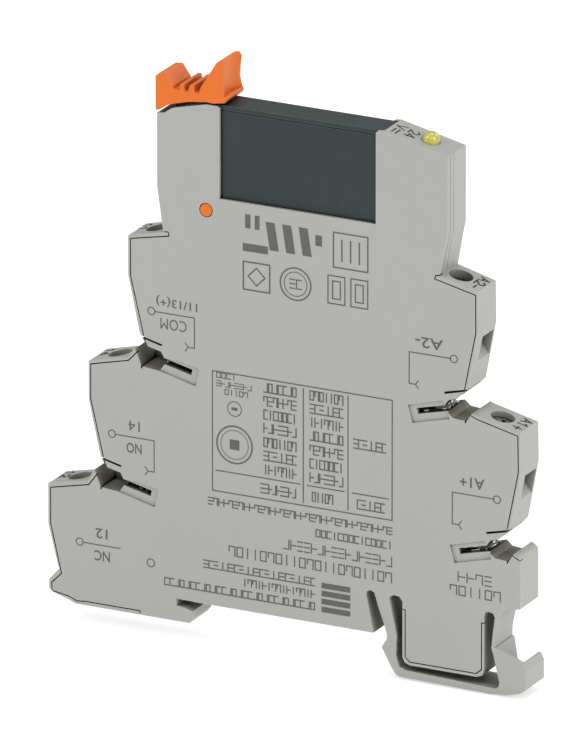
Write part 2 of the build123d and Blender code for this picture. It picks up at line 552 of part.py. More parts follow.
with BuildPart() as armature:
    rod(0.4, 69.5, 0.3, -1.7, 1.7)
    box(0.1, 0.7, -1.7, 1.7, 69.5, 77.6)
finish(armature.part, "armature")

with BuildPart() as card:
    box(-5.0, 1.35, -1.95, 1.95, 76.95, 77.5)
    box(0.04, 0.77, -1.75, 1.75, 76.9, 77.6, Mode.SUBTRACT)
    box(PIN_COM - 0.16, PIN_COM + 0.18, -1.5, 1.3, 76.9, 77.6, Mode.SUBTRACT)
finish(card.part, "actuator_card")

# ---------------------------------------------------------------- indicator
with BuildPart() as board:
    box(18.3, 25.5, 0.6, 1.4, 62.0, 73.4)
finish(board.part, "circuit_board")

with BuildPart() as smd:
    box(19.4, 21.4, -0.5, 0.6, 63.0, 66.2)
    box(22.8, 24.8, -0.1, 0.6, 63.2, 64.8)
    box(22.8, 24.8, -0.1, 0.6, 66.4, 68.0)
    box(19.6, 21.2, -0.3, 0.6, 68.2, 71.4)
finish(smd.part, "board_components")

c, s = math.cos(a), math.sin(a)
with BuildPart() as led:
    with BuildSketch(Plane(origin=(LED_X - 2.4 * s, 0, LED_Z - 2.4 * c), x_dir=(c, 0, -s), z_dir=(s, 0, c))) as barrel:
        Circle(LED_R)
    extrude(barrel.sketch, amount=2.5)
    with Locations((LED_X + 0.1 * s, 0, LED_Z + 0.1 * c)):
        Sphere(LED_R)
finish(led.part, "led_lens")

with BuildPart() as leads:
    for y in (-0.64, 0.64):
        ribbon([(LED_X - 2.4 * s, LED_Z - 2.4 * c), (22.4, 73.8)], 0.4, y - 0.2, y + 0.2)
    box(22.2, 22.6, 0.44, 0.6, 71.6, 73.85)
    box(22.2, 22.6, -0.84, 0.6, 73.45, 73.85)
finish(leads.part, "led_leads")
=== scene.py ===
import math

import bmesh
import bpy
from mathutils import Matrix, Vector


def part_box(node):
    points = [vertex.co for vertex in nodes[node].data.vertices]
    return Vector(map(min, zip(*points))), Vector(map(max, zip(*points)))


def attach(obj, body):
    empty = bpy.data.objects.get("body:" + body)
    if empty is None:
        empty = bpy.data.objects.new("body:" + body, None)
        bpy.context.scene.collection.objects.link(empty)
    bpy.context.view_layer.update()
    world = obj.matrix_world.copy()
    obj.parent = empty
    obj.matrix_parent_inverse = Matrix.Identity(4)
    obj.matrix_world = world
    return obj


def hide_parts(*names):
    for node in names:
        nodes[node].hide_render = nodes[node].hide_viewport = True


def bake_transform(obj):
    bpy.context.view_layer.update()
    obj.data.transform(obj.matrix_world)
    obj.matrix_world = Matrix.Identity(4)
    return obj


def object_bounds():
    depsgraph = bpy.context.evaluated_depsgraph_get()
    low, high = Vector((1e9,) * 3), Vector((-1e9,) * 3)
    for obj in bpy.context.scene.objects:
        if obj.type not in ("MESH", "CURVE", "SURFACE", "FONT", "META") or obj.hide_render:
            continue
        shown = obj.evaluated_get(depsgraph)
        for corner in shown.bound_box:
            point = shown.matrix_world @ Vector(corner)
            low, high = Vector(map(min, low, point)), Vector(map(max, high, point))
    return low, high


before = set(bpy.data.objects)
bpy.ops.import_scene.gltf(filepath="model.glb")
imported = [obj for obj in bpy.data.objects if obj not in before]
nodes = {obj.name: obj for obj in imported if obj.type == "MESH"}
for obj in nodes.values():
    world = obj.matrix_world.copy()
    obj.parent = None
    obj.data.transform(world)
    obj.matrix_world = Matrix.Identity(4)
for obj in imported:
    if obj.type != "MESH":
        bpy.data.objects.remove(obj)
cad_box = [[float(c) for c in v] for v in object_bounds()]
MM = 0.001
lo_s, hi_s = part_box("housing_shell")
lo_c, hi_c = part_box("side_cover")
NEAR = lo_c.y  # outside of the near side plate
OX = lo_s.x + 39.3 * MM  # the row frame's origin, from the shell's own box
OZ = lo_s.z + 4.2 * MM

# ------------------------------------------------------------------ camera
AZ, EL = math.radians(26.37), math.radians(19.55)
SCALE = 6.684  # picture pixels per millimetre at the object
LENS = 1000.0
cam_data = bpy.data.cameras.new("camera")
cam_data.lens = LENS
cam_data.sensor_width = 36.0
cam = bpy.data.objects.new("camera", cam_data)
bpy.context.scene.collection.objects.link(cam)
aim = Vector((0.42, 0.0, 38.04)) * MM
back = Vector((math.sin(AZ) * math.cos(EL), -math.cos(AZ) * math.cos(EL), math.sin(EL)))
cam.location = aim + back * (LENS / 36.0 * 745.0 / SCALE * MM)
cam.rotation_mode = "QUATERNION"
cam.rotation_quaternion = (-back).to_track_quat("-Z", "Y")
cam_data.clip_start, cam_data.clip_end = 0.05, 60.0
bpy.context.scene.camera = cam


# ------------------------------------------------------------------ materials
class Mat:
    """Short way to write node trees."""

    def __init__(self, name):
        self.m = bpy.data.materials.new(name)
        self.m.use_nodes = True
        self.t = self.m.node_tree
        self.n = self.t.nodes
        self.n.clear()
        self.out = self.n.new("ShaderNodeOutputMaterial")
        self.bsdf = self.n.new("ShaderNodeBsdfPrincipled")
        self.t.links.new(self.bsdf.outputs[0], self.out.inputs[0])
        self.coord = self.n.new("ShaderNodeTexCoord").outputs["Object"]

    def link(self, a, b):
        self.t.links.new(a, b)

    def put(self, socket, value):
        if hasattr(value, "is_output") or isinstance(value, bpy.types.NodeSocket):
            self.link(value, socket)
        else:
            socket.default_value = value

    def noise(self, scale, detail=3.0, rough=0.55, vector=None):
        n = self.n.new("ShaderNodeTexNoise")
        n.inputs["Scale"].default_value = scale
        n.inputs["Detail"].default_value = detail
        n.inputs["Roughness"].default_value = rough
        self.link(vector or self.coord, n.inputs["Vector"])
        return n.outputs["Fac"]

    def stretch(self, sx, sy, sz):
        n = self.n.new("ShaderNodeMapping")
        n.inputs["Scale"].default_value = (sx, sy, sz)
        self.link(self.coord, n.inputs["Vector"])
        return n.outputs[0]

    def span(self, v, a, b, c, d):
        n = self.n.new("ShaderNodeMapRange")
        self.link(v, n.inputs["Value"])
        for k, x in zip(("From Min", "From Max", "To Min", "To Max"), (a, b, c, d)):
            n.inputs[k].default_value = x
        return n.outputs[0]

    def math(self, op, a, b=0.0):
        n = self.n.new("ShaderNodeMath")
        n.operation = op
        self.put(n.inputs[0], a)
        self.put(n.inputs[1], b)
        return n.outputs[0]

    def mix(self, fac, a, b, mode="MIX"):
        n = self.n.new("ShaderNodeMix")
        n.data_type = "RGBA"
        n.blend_type = mode
        self.put(n.inputs[0], fac)
        for socket, v in ((n.inputs[6], a), (n.inputs[7], b)):
            if isinstance(v, tuple):
                socket.default_value = (*v, 1.0) if len(v) == 3 else v
            else:
                self.link(v, socket)
        return n.outputs[2]

    def bump(self, height, strength, distance, normal=None):
        n = self.n.new("ShaderNodeBump")
        n.inputs["Strength"].default_value = strength
        n.inputs["Distance"].default_value = distance
        self.link(height, n.inputs["Height"])
        if normal is not None:
            self.link(normal, n.inputs["Normal"])
        return n.outputs[0]

    def rounded(self, radius, samples=6):
        n = self.n.new("ShaderNodeBevel")
        n.samples = samples
        n.inputs["Radius"].default_value = radius
        return n.outputs[0]

    def edge(self, rounded):
        """1 on sharp edges, 0 on flats."""
        g = self.n.new("ShaderNodeNewGeometry")
        d = self.n.new("ShaderNodeVectorMath")
        d.operation = "DOT_PRODUCT"
        self.link(rounded, d.inputs[0])
        self.link(g.outputs["Normal"], d.inputs[1])
        return self.span(d.outputs["Value"], 0.998, 0.88, 0.0, 1.0)

    def hollow(self, distance, samples=6):
        n = self.n.new("ShaderNodeAmbientOcclusion")
        n.samples = samples
        n.inputs["Distance"].default_value = distance
        return n.outputs["AO"]

    def set(self, **values):
        for k, v in values.items():
            self.put(self.bsdf.inputs[k.replace("_", " ")], v)
        return self.m


def lin(r, g, b):
    """sRGB 0 to 255 to linear."""
    return tuple((c / 255 / 12.92) if c <= 10.3 else ((c / 255 + 0.055) / 1.055) ** 2.4 for c in (r, g, b))


# bridging channels: the slot's outer end and the middle of the mouth, millimetres from the rail's middle; centres of
# the painted shade in the mouths
MOUTHS = ((-20.6, 38.2, -22.0, 37.9), (-27.5, 17.8, -28.9, 17.5), (27.9, 38.3, 28.9, 37.8), (34.9, 17.2, 35.9, 16.7))


def pocket(a):
    """Masks for the painted shade in the bridging channels' mouths: 1 on the walls of the mouths, 0 elsewhere and on
    the flat sides: first next to the slot, then the whole mouth.
    """
    g = a.n.new("ShaderNodeNewGeometry")
    side_on = a.n.new("ShaderNodeSeparateXYZ")
    a.link(g.outputs["True Normal"], side_on.inputs[0])
    walls = a.span(a.math("ABSOLUTE", side_on.outputs["Y"]), 0.3, 0.7, 1.0, 0.0)
    flat = a.n.new("ShaderNodeVectorMath")
    flat.operation = "MULTIPLY"
    a.link(a.coord, flat.inputs[0])
    flat.inputs[1].default_value = (1.0, 0.0, 1.0)
    out = []
    for pick, r0, r1 in ((0, 0.0008, 0.0021), (2, 0.0020, 0.0037)):
        total = None
        for mouth in MOUTHS:
            d = a.n.new("ShaderNodeVectorMath")
            d.operation = "DISTANCE"
            a.link(flat.outputs[0], d.inputs[0])
            d.inputs[1].default_value = (OX + mouth[pick] * MM, 0.0, OZ + mouth[pick + 1] * MM)
            m = a.span(d.outputs["Value"], r0, r1, 1.0, 0.0)
            total = m if total is None else a.math("MAXIMUM", total, m)
        out.append(a.math("MULTIPLY", total, walls))
    return out


def moulded(name, colour, rough, grain=0.25, edge_light=0.25, radius=0.00016, hollow_shade_colour=(0.16, 0.148, 0.118), specks=0.03, coat=0.0, ior=1.5, spec=0.5, tight=0.85, mouth_shade=False, gap=0.0005, shut=0.08, clear=0.62, edge_highlight_lift=0.04):
    """Moulded plastic: fine spark-eroded grain, faint flow marks, softened and slightly polished edges with a painted
    highlight along them, painted warm dark shade in the hollows and a painted dark line of shade in tight crevices;
    when asked, painted shade inside the channel mouths.
    """
    a = Mat(name)
    rounded = a.rounded(radius)
    edge = a.edge(rounded)
    flow = a.noise(45.0, 4.0, 0.6, a.stretch(1.0, 1.0, 0.45))
    fine = a.noise(5200.0, 2.0, 0.6)
    mid = a.noise(1500.0, 3.0, 0.6)
    dark = tuple(c * (1 - specks) for c in colour)
    light = tuple(min(1.0, c * (1 + specks)) for c in colour)
    base = a.mix(a.span(flow, 0.3, 0.7, 0.0, 1.0), dark, light)
    base = a.mix(a.span(mid, 0.35, 0.65, 0.0, 0.5), base, dark)
    base = a.mix(a.span(fine, 0.35, 0.65, 0.0, 0.12), base, tuple(c * 0.82 for c in colour))
    # painted highlight: edges are lightened in the colour itself, broken up by noise
    edge_highlight_colour = tuple(min(1.0, c * 1.45 + edge_highlight_lift) for c in colour)
    breakup = a.span(mid, 0.25, 0.75, 0.7, 1.0)
    base = a.mix(a.math("MULTIPLY", a.math("MULTIPLY", edge, edge_light), breakup), base, edge_highlight_colour)
    # painted shade: colour darkened towards the given warm dark colour where ambient occlusion over 5 mm finds hollows
    wide = a.span(a.hollow(0.0050, 8), 0.12, 0.60, 0.0, 1.0)
    base = a.mix(1.0, base, a.mix(wide, hollow_shade_colour, (1.0, 1.0, 1.0)), "MULTIPLY")
    # painted shade: a dark line in tight crevices and where parts meet, from ambient occlusion over the short gap
    # distance
    near = a.span(a.hollow(gap, 5), shut, clear, 1.0 - tight, 1.0)
    base = a.mix(1.0, base, a.mix(near, (0.0, 0.0, 0.0), (1.0, 1.0, 1.0)), "MULTIPLY")
    # painted shade inside the bridging channels' mouths, mottled by noise, darkest next to the slot
    if mouth_shade:
        shade_mottle = a.noise(900.0, 3.0, 0.6)
        inner, whole = pocket(a)
        base = a.mix(1.0, base, a.mix(whole, (1.0, 1.0, 1.0), a.mix(a.span(shade_mottle, 0.35, 0.65, 0.0, 1.0), (0.42, 0.39, 0.32), (0.56, 0.53, 0.45))), "MULTIPLY")
        base = a.mix(1.0, base, a.mix(inner, (1.0, 1.0, 1.0), (0.16, 0.15, 0.12)), "MULTIPLY")
    roughness = a.math("ADD", a.span(mid, 0.2, 0.8, rough - 0.05, rough + 0.05), a.math("MULTIPLY", edge, -0.12))
    height = a.math("ADD", fine, a.math("MULTIPLY", mid, 0.5))
    normal = a.bump(height, grain, 0.00003, rounded)
    return a.set(Base_Color=base, Roughness=roughness, Normal=normal, Coat_Weight=coat, Coat_Roughness=0.25, IOR=ior, Specular_IOR_Level=spec)


# centres of the painted shade and painted glints on the jaws in the bridging slots
SLOT_MIDDLES = ((-17.75, 37.05), (-24.63, 16.67), (25.0, 36.95), (32.03, 15.85))


def plated(name, colour, rough, brushed=(1.0, 1.0, 0.08), edge_highlight_amount=0.5, radius=0.00006, jaws=False):
    """Plated metal: fine drawing lines, spotty roughness, a painted highlight along the edges, painted shade in the
    hollows.
    """
    a = Mat(name)
    rounded = a.rounded(radius, 4)
    edge = a.edge(rounded)
    lines = a.noise(9000.0, 3.0, 0.6, a.stretch(*brushed))
    blotch = a.noise(700.0, 4.0, 0.6)
    base = a.mix(a.span(blotch, 0.3, 0.7, 0.0, 1.0), tuple(c * 0.86 for c in colour), colour)
    # painted highlight: edges are lightened in the colour itself
    base = a.mix(a.math("MULTIPLY", edge, edge_highlight_amount), base, tuple(min(1.0, c * 1.2 + 0.05) for c in colour))
    # painted shade: colour darkened in hollows, from ambient occlusion over 1.4 mm
    base = a.mix(1.0, base, a.mix(a.span(a.hollow(0.0014), 0.05, 0.55, 0.05, 1.0), (0, 0, 0), (1.0, 1.0, 1.0)), "MULTIPLY")
    if jaws:
        # painted shade: the bridging jaws are darkened inside the slots, with painted glints in noise spots where the
        # shade is left off
        flat = a.n.new("ShaderNodeVectorMath")
        flat.operation = "MULTIPLY"
        a.link(a.coord, flat.inputs[0])
        flat.inputs[1].default_value = (1.0, 0.0, 1.0)
        total = None
        for x, z in SLOT_MIDDLES:
            d = a.n.new("ShaderNodeVectorMath")
            d.operation = "DISTANCE"
            a.link(flat.outputs[0], d.inputs[0])
            d.inputs[1].default_value = (OX + x * MM, 0.0, OZ + z * MM)
            m = a.span(d.outputs["Value"], 0.0030, 0.0036, 1.0, 0.0)
            total = m if total is None else a.math("MAXIMUM", total, m)
        glint_spots = a.span(a.noise(1000.0, 2.0, 0.5), 0.52, 0.60, 0.05, 1.0)
        slot_shade_and_glints = a.mix(glint_spots, (0.0, 0.0, 0.0), (1.0, 1.0, 1.0))
        base = a.mix(1.0, base, a.mix(total, (1.0, 1.0, 1.0), slot_shade_and_glints), "MULTIPLY")
    r = a.math("ADD", a.span(lines, 0.3, 0.7, rough - 0.06, rough + 0.08), a.span(blotch, 0.3, 0.7, -0.04, 0.06))
    dents = a.noise(1100.0, 2.0, 0.5)
    return a.set(Base_Color=base, Metallic=1.0, Roughness=r, Normal=a.bump(dents, 0.5, 0.00008, a.bump(lines, 0.2, 0.00001, rounded)))


HOUSING = lin(163, 164, 159)
m_house = moulded("housing_polyamide", HOUSING, 0.52, grain=0.22, edge_light=0.9, specks=0.02, spec=0.4, mouth_shade=True)
m_relay = moulded("relay_case_plastic", lin(46, 56, 55), 0.5, grain=0.35, edge_light=1.0, radius=0.00014, hollow_shade_colour=(0.35, 0.35, 0.35), specks=0.16, spec=0.25, tight=0.95, gap=0.0007, shut=0.42, clear=0.86, edge_highlight_lift=0.09)
m_base = moulded("relay_base_plastic", lin(38, 40, 40), 0.5)
m_lever = moulded("lever_plastic", lin(218, 107, 28), 0.42, grain=0.15, edge_light=0.35, radius=0.00014, hollow_shade_colour=(0.42, 0.32, 0.14), specks=0.05, tight=0.6, spec=0.3)
m_bobbin = moulded("bobbin_plastic", lin(215, 210, 195), 0.5)
m_comp = moulded("component_black", lin(40, 40, 42), 0.45)
m_bus = plated("tinned_copper", (0.80, 0.78, 0.72), 0.16, jaws=True)
m_clamp = plated("zinc_clamp", (0.55, 0.55, 0.53), 0.34)
m_screw = plated("zinc_screw", (0.58, 0.57, 0.53), 0.3, brushed=(1.0, 1.0, 1.0))
m_contact = plated("silvered_contact", (0.75, 0.73, 0.68), 0.22)
m_iron = plated("nickel_iron", (0.45, 0.45, 0.45), 0.32)
m_lead = plated("tinned_lead", (0.7, 0.7, 0.68), 0.2)


def copper():
    a = Mat("winding_copper")
    w = a.n.new("ShaderNodeTexWave")
    w.bands_direction = "X"
    w.inputs["Scale"].default_value = 2200.0
    w.inputs["Distortion"].default_value = 0.6
    a.link(a.coord, w.inputs["Vector"])
    c = a.mix(a.span(w.outputs["Fac"], 0.0, 1.0, 0.0, 1.0), (0.22, 0.06, 0.02), (0.65, 0.25, 0.09))
    return a.set(Base_Color=c, Metallic=0.9, Roughness=a.span(a.noise(800.0), 0.3, 0.7, 0.25, 0.4), Normal=a.bump(w.outputs["Fac"], 0.6, 0.00004))


def laminate():
    a = Mat("board_laminate")
    weave = a.noise(2600.0, 2.0, 0.5, a.stretch(1.0, 1.0, 0.3))
    c = a.mix(a.span(weave, 0.35, 0.65, 0.0, 1.0), (0.010, 0.075, 0.03), (0.018, 0.12, 0.045))
    return a.set(Base_Color=c, Roughness=a.span(weave, 0.3, 0.7, 0.25, 0.4), Normal=a.bump(weave, 0.15, 0.00002, a.rounded(0.00005)))


m_copper, m_board = copper(), laminate()


def ink():
    """Laser print: matt grey with a ragged, slightly uneven tone."""
    a = Mat("print_grey")
    n = a.noise(6000.0, 3.0, 0.7)
    c = a.mix(a.span(n, 0.35, 0.65, 0.0, 1.0), lin(72, 73, 72), lin(96, 97, 95))
    return a.set(Base_Color=c, Roughness=a.span(n, 0.3, 0.7, 0.5, 0.7), Normal=a.bump(n, 0.2, 0.00001))


m_ink = ink()


def led_glass():
    a = Mat("led_epoxy")
    n = a.noise(500.0, 2.0)
    lw = a.n.new("ShaderNodeLayerWeight")
    lw.inputs["Blend"].default_value = 0.4
    # painted shade: darker towards the rim, where the dome is seen edge on
    c = a.mix(a.span(lw.outputs["Facing"], 0.0, 0.9, 0.0, 1.0), lin(214, 202, 84), lin(128, 116, 34))
    return a.set(Base_Color=c, Roughness=a.span(n, 0.3, 0.7, 0.05, 0.1), IOR=1.54, Transmission_Weight=0.35, Subsurface_Weight=0.2, Subsurface_Scale=0.0006, Coat_Weight=0.6, Coat_Roughness=0.03)


m_led = led_glass()

TREAT = {
    "housing_shell": m_house, "side_cover": m_house, "latch_foot": m_house,
    "latch_leg_inner": m_house, "latch_leg_outer": m_house,
    "eject_lever": m_lever, "relay_case": m_relay, "relay_base": m_base,
    "blade_common": m_contact, "contact_open": m_contact, "contact_closed": m_contact,
    "contact_spring": m_contact, "coil_blades": m_contact, "coil_bobbin": m_bobbin,
    "actuator_card": m_bobbin, "coil_winding": m_copper, "coil_core": m_iron,
    "coil_yoke": m_iron, "armature": m_iron, "circuit_board": m_board,
    "board_components": m_comp, "led_lens": m_led, "led_leads": m_lead,
}
for name, obj in nodes.items():
    m = TREAT.get(name)
    if m is None:
        m = m_bus if name.startswith("busbar") else m_clamp if name.startswith("clamp") else m_screw
    obj.data.materials.clear()
    obj.data.materials.append(m)


def softened(obj, width, segments=2, angle=35.0):
    w = obj.modifiers.new("weld", "WELD")
    w.merge_threshold = 2e-6
    d = obj.modifiers.new("planar", "DECIMATE")
    d.decimate_type = "DISSOLVE"
    d.angle_limit = math.radians(0.8)
    b = obj.modifiers.new("bevel", "BEVEL")
    b.width = width
    b.segments = segments
    b.limit_method = "ANGLE"
    b.angle_limit = math.radians(angle)
    b.use_clamp_overlap = True
    b.harden_normals = False
    n = obj.modifiers.new("normals", "WEIGHTED_NORMAL")
    n.keep_sharp = False


# ------------------------------------------------------------------ helpers for new pieces


def new_object(name, verts, faces, mat, body=None):
    me = bpy.data.meshes.new(name)
    me.from_pydata([tuple(v) for v in verts], [], faces)
    me.validate()
    me.materials.append(mat)
    o = bpy.data.objects.new(name, me)
    bpy.context.scene.collection.objects.link(o)
    if body:
        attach(o, body)
    return o


class Plate:
    """Flat marks on a plane: u and v in the plane, w out of it, all in millimetres."""

    def __init__(self, origin, eu, ev):
        self.o, self.u, self.v = Vector(origin), Vector(eu).normalized(), Vector(ev).normalized()
        self.w = self.u.cross(self.v)
        self.verts, self.faces = [], []

    def at(self, u, v, w=0.0):
        return self.o + (self.u * u + self.v * v + self.w * w) * MM

    def sheet(self, pts, faces, t=0.014):
        """Flat sheet lifted a little off the plane, from a planar set of points and counter-clockwise faces."""
        k = len(self.verts)
        t += 0.0009 * (len(self.faces) % 9)
        self.verts += [self.at(u, v, t) for u, v in pts]
        self.faces += [tuple(k + j for j in f) for f in faces]

    def quad(self, a, b, c, d):
        self.sheet([a, b, c, d], [(0, 1, 2, 3)])

    def rect(self, u0, v0, u1, v1):
        u0, u1, v0, v1 = min(u0, u1), max(u0, u1), min(v0, v1), max(v0, v1)
        self.quad((u0, v0), (u1, v0), (u1, v1), (u0, v1))

    def line(self, pts, width=0.17):
        for (a, b), (c, d) in zip(pts, pts[1:]):
            n = math.hypot(c - a, d - b) or 1.0
            ex, ey = (c - a) / n * width / 2, (d - b) / n * width / 2
            self.quad((a - ex + ey, b - ey - ex), (c + ex + ey, d + ey - ex), (c + ex - ey, d + ey + ex), (a - ex - ey, b - ey + ex))

    def ring(self, cu, cv, r, width=0.17, n=36, a0=0.0, a1=2 * math.pi):
        pts = []
        for i in range(n + 1):
            a = a0 + (a1 - a0) * i / n
            for rr in (r + width / 2, r - width / 2):
                pts.append((cu + rr * math.cos(a), cv + rr * math.sin(a)))
        self.sheet(pts, [(2 * i, 2 * i + 2, 2 * i + 3, 2 * i + 1) for i in range(n)])

    def disc(self, cu, cv, r, n=32):
        self.sheet([(cu + r * math.cos(2 * math.pi * i / n), cv + r * math.sin(2 * math.pi * i / n)) for i in range(n)], [tuple(range(n))])

    def text(self, body, u0, v0, u1, v1, bold=0.0):
        """Lettering that fills the box u0 to u1, v0 to v1."""
        cu = bpy.data.curves.new("t", "FONT")
        cu.body = body
        cu.resolution_u = 3
        cu.offset = bold
        cu.fill_mode = "FRONT"
        o = bpy.data.objects.new("t", cu)
        bpy.context.scene.collection.objects.link(o)
        bpy.context.view_layer.update()
        me = bpy.data.meshes.new_from_object(o.evaluated_get(bpy.context.evaluated_depsgraph_get()))
        xs, ys = [v.co.x for v in me.vertices], [v.co.y for v in me.vertices]
        x0, x1, y0, y1 = min(xs), max(xs), min(ys), max(ys)
        pts = [(u0 + (v.co.x - x0) / (x1 - x0) * (u1 - u0), v0 + (v.co.y - y0) / (y1 - y0) * (v1 - v0)) for v in me.vertices]
        self.sheet(pts, [tuple(p.vertices) for p in me.polygons])
        bpy.data.objects.remove(o)
        bpy.data.meshes.remove(me)
        bpy.data.curves.remove(cu)

    def strokes(self, word, u0, v0, u1, v1, width=0.25):
        """Terminal marks drawn with a square-ended pen: only the digits and letters listed here."""
        shapes = {
            "1": [[(0.12, 0.76), (0.5, 1.0), (0.5, 0.0)]],
            "2": [[(0.04, 0.78), (0.2, 0.95), (0.5, 1.0), (0.8, 0.94), (0.93, 0.74), (0.84, 0.52), (0.04, 0.0), (0.98, 0.0)]],
            "4": [[(0.72, 0.0), (0.72, 1.0), (0.04, 0.3), (1.0, 0.3)]],
            "A": [[(0.0, 0.0), (0.5, 1.0), (1.0, 0.0)], [(0.2, 0.36), (0.8, 0.36)]],
            "V": [[(0.0, 1.0), (0.5, 0.0), (1.0, 1.0)]],
            "+": [[(0.1, 0.45), (0.9, 0.45)], [(0.5, 0.02), (0.5, 0.88)]],
            "-": [[(0.1, 0.45), (0.9, 0.45)]],
        }
        cell = (u1 - u0) / len(word)
        for i, letter in enumerate(word):
            a, b = u0 + (i + 0.12) * cell, u0 + (i + 0.88) * cell
            for path in shapes[letter]:
                self.line([(a + x * (b - a), v0 + y * (v1 - v0)) for x, y in path], width)

    def filler(self, u0, v0, u1, v1, n, seed=0, width=0.2):
        """A row of n plain signs that stand for a line of print: bars, boxes, hooks and forks, no letters."""
        step = (u1 - u0) / n
        for i in range(n):
            k = (i * 7 + seed * 5 + (i * i) % 5) % 7
            a, b = u0 + i * step + step * 0.14, u0 + (i + 1) * step - step * 0.14
            m, h = (a + b) / 2, (v0 + v1) / 2
            if k == 0:
                self.line([(a, v0), (a, v1), (b, v1), (b, v0), (a, v0)], width)
            elif k == 1:
                self.line([(a, v0), (a, v1), (b, v1)], width)
            elif k == 2:
                self.line([(b, v0), (b, v1)], width)
                self.line([(a, h), (b, h)], width)
            elif k == 3:
                self.line([(m, v0), (m, v1)], width)
            elif k == 4:
                self.line([(a, v1), (b, v1), (b, v0), (a, v0)], width)
            elif k == 5:
                self.line([(a, v0), (b, v0)], width)
                self.line([(a, h), (b, h)], width)
                self.line([(a, v1), (b, v1)], width)
            else:
                self.line([(a, v1), (a, v0), (b, v0), (b, h)], width)

    def build(self, name, mat, body="housing"):
        return new_object(name, self.verts, self.faces, mat, body)


# ------------------------------------------------------------------ print on the near side, reading upside down
side = Plate((OX, NEAR, OZ), (-1, 0, 0), (0, 0, -1))


def R(x, z):
    """Row-frame millimetres to the plate's own u, v."""
    return (-x, -z)


def terminal(x, z, tx, tz, fork, names):
    """Terminal circle at x, z, wire to tx, down to tz with a little fork, and its names."""
    side.ring(*R(x, z), 0.58, 0.18)
    end = x + 0.58 * (1 if tx > x else -1)
    if fork:
        d = -1 if tx > x else 1
        side.line([R(end, z), R(tx, z), R(tx, tz), R(tx + d * 1.05, tz)], 0.18)
        side.line([R(tx + d * 1.5, tz + 0.62), R(tx + d * 1.05, tz), R(tx + d * 1.5, tz - 0.62)], 0.18)
    else:
        side.line([R(end, z), R(tx, z)], 0.18)
    for word, x0, x1, z0, z1 in names:
        side.text(word, -x1, -z1, -x0, -z0, 0.0 if "4" in word or "M" in word else 0.012)


terminal(-21.8, 45.3, -14.6, 40.5, True, [("11/13(+)", -21.0, -14.1, 46.3, 48.05), ("COM", -20.3, -15.9, 42.75, 44.5)])
terminal(-28.5, 24.7, -21.4, 19.7, True, [("14", -25.7, -23.8, 25.7, 27.3), ("NO", -26.05, -23.5, 22.15, 23.75)])
terminal(-34.0, 6.55, -27.2, 6.55, False, [("12", -31.3, -29.3, 7.6, 9.2), ("NC", -31.5, -28.9, 4.0, 5.65)])
terminal(28.6, 45.6, 21.2, 40.6, True, [("A2-", 22.2, 26.8, 46.55, 48.25)])
terminal(35.8, 24.5, 28.4, 19.5, True, [("A1+", 29.6, 33.7, 25.6, 27.3)])
side.ring(*R(-22.0, 5.1), 0.62, 0.18)

# table
T0, T1, B0, B1 = -11.6, 18.4, 18.4, 37.45
side.line([R(T0, B0), R(T1, B0), R(T1, B1), R(T0, B1), R(T0, B0)], 0.19)
for x in (3.6, 11.05):
    side.line([R(x, B0 + 0.5), R(x, B1 - 0.5)], 0.19)
for a, b in ((T0 + 0.6, 3.0), (4.3, 10.4), (11.8, T1 - 0.6)):
    side.line([R(a, 21.7), R(b, 21.7)], 0.19)
for k, (a, b, n) in enumerate(((-3.6, 2.4, 9), (5.0, 8.6, 5), (12.5, 17.2, 6))):
    side.filler(-b, -20.75, -a, -19.35, n, k + 3, 0.21)
for k, z in enumerate((36.1, 34.0, 31.85, 29.7, 27.45, 25.3, 23.1)):
    side.filler(-2.5, -z - 0.7, 3.1, -z + 0.7, 7, k, 0.21)
    side.filler(-10.3, -z - 0.7, -4.6, -z + 0.7, 7, k + 11, 0.21)
side.filler(-17.4, -30.3, -11.9, -28.9, 7, 5, 0.21)
for k, (z, a, b) in enumerate(((36.9, -11.0, -7.6), (35.6, -11.0, -5.0), (34.4, -9.6, -5.6))):
    side.filler(-b, -z - 0.4, -a, -z + 0.4, max(4, int((b - a) / 0.75)), k + 2, 0.15)
side.ring(*R(-7.9, 31.9), 1.15, 0.16)
side.rect(7.4, -32.15, 8.4, -31.65)
side.ring(*R(-7.9, 26.2), 2.95, 0.26)
side.ring(*R(-7.9, 26.2), 2.3, 0.12)
side.rect(7.1, -27.0, 8.7, -25.4)

# lines of print under the table
for k, (z, h, a, b, n) in enumerate((
    (16.65, 1.05, -12.4, 18.5, 36), (14.35, 1.1, 5.6, 18.5, 14), (11.75, 1.45, 0.2, 18.5, 16), (9.2, 1.5, -9.0, 18.5, 21),
    (6.45, 1.15, -13.2, 5.6, 22), (4.5, 1.1, -6.6, 5.6, 15), (2.6, 1.1, -19.8, 5.6, 29),
)):
    side.filler(-b, -z - h / 2, -a, -z + h / 2, n, k + 1, 0.2)
# plain block of level bars
for k in range(4):
    side.rect(-11.45, -6.6 + k * 1.27, -6.65, -5.72 + k * 1.27)
# date field
side.filler(-36.6, -9.8, -27.9, -8.35, 6, 4, 0.2)
side.filler(-35.1, -12.0, -29.2, -10.55, 4, 8, 0.2)

